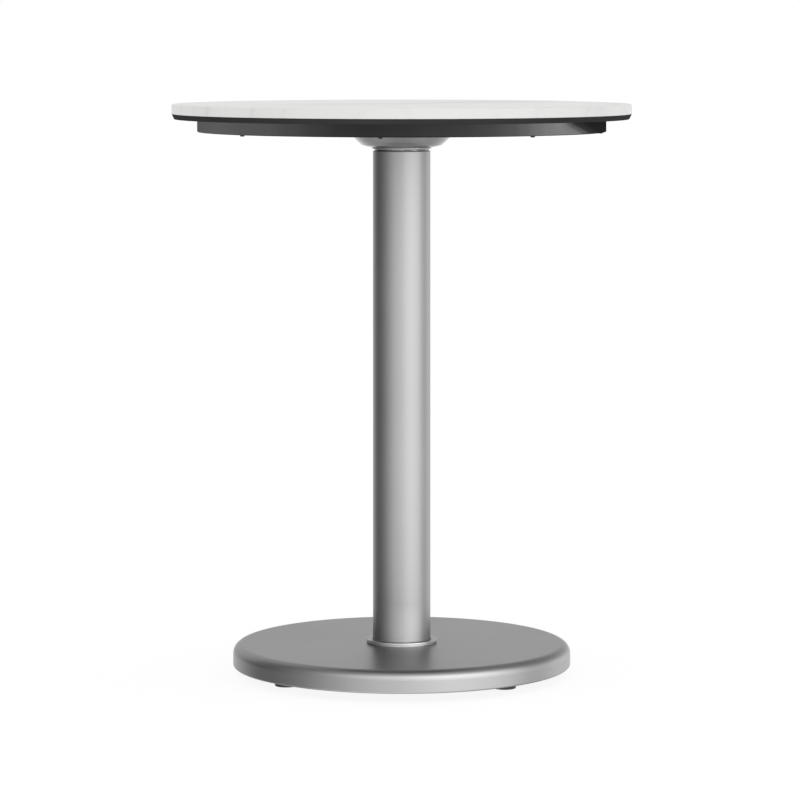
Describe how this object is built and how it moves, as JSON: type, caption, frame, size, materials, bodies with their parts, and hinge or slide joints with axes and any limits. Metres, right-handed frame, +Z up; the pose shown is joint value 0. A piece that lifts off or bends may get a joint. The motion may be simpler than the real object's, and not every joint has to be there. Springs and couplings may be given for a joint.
{
  "type": "bistro table",
  "caption": "Round pedestal bistro table: pale stone top on a black chamfered backer and hoop, silver column on a heavy disc base with levelling feet.",
  "frame": {"origin": "on the floor at the column axis, feet wound in", "axes": "+Z up along the column, -Y to the front, feet and spider arms on the diagonals"},
  "size_m": [0.6096, 0.6096, 0.748],
  "materials": {
    "marble": "honed white with faint grey veins",
    "backer": "matt black compact laminate",
    "black_steel": "satin black powder coat",
    "silver_steel": "satin silver, fine grain",
    "silver_cast": "satin silver over a fine casting grain",
    "cast_iron": "sand-cast, black dipped",
    "plain_steel": "turned",
    "zinc_steel": "bright zinc plate",
    "spring_steel": "oil-blackened",
    "brass": "turned",
    "nylon": "black moulded nylon"
  },
  "bodies": {
    "table": {"marble_top": "marble", "backer_board": "backer", "stiffener_ring": "black_steel", "ring_screws": "black_steel", "ring_inserts": "brass", "mounting_spider": "silver_cast", "spider_screws": "zinc_steel", "spider_washers": "zinc_steel", "spider_inserts": "brass", "column_tube": "silver_steel", "tie_rod": "zinc_steel", "rod_top_nut": "zinc_steel", "rod_top_washer": "zinc_steel", "rod_lock_washers": "spring_steel", "base_collar": "silver_steel", "column_locator": "plain_steel", "base_cover": "silver_steel", "base_ballast": "cast_iron", "rod_bottom_nut": "zinc_steel", "rod_bottom_washer": "zinc_steel", "foot_bushes": "zinc_steel"},
    "foot_1": {"foot_pad_1": "nylon"},
    "foot_2": {"foot_pad_2": "nylon"},
    "foot_3": {"foot_pad_3": "nylon"},
    "foot_4": {"foot_pad_4": "nylon"},
    "screw_1": {"foot_screw_1": "zinc_steel"},
    "screw_2": {"foot_screw_2": "zinc_steel"},
    "screw_3": {"foot_screw_3": "zinc_steel"},
    "screw_4": {"foot_screw_4": "zinc_steel"}
  },
  "joints": [
    {"name": "foot_1_travel", "type": "slide", "parent": "table", "child": "foot_1", "axis": [0, 0, -1], "range_m": [0, 0.006]},
    {"name": "foot_1_turn", "type": "hinge", "parent": "foot_1", "child": "screw_1", "pos_m": [0.14071, 0.14071, 0.0053], "axis": [0, 0, -1], "range_deg": [0, 1728]},
    {"name": "foot_2_travel", "type": "slide", "parent": "table", "child": "foot_2", "axis": [0, 0, -1], "range_m": [0, 0.006]},
    {"name": "foot_2_turn", "type": "hinge", "parent": "foot_2", "child": "screw_2", "pos_m": [-0.14071, 0.14071, 0.0053], "axis": [0, 0, -1], "range_deg": [0, 1728]},
    {"name": "foot_3_travel", "type": "slide", "parent": "table", "child": "foot_3", "axis": [0, 0, -1], "range_m": [0, 0.006]},
    {"name": "foot_3_turn", "type": "hinge", "parent": "foot_3", "child": "screw_3", "pos_m": [-0.14071, -0.14071, 0.0053], "axis": [0, 0, -1], "range_deg": [0, 1728]},
    {"name": "foot_4_travel", "type": "slide", "parent": "table", "child": "foot_4", "axis": [0, 0, -1], "range_m": [0, 0.006]},
    {"name": "foot_4_turn", "type": "hinge", "parent": "foot_4", "child": "screw_4", "pos_m": [0.14071, -0.14071, 0.0053], "axis": [0, 0, -1], "range_deg": [0, 1728]}
  ],
  "couplings": [
    {"joint": "foot_1_travel", "follows": "foot_1_turn", "m_per_rad": 0.00019894},
    {"joint": "foot_2_travel", "follows": "foot_2_turn", "m_per_rad": 0.00019894},
    {"joint": "foot_3_travel", "follows": "foot_3_turn", "m_per_rad": 0.00019894},
    {"joint": "foot_4_travel", "follows": "foot_4_turn", "m_per_rad": 0.00019894}
  ]
}
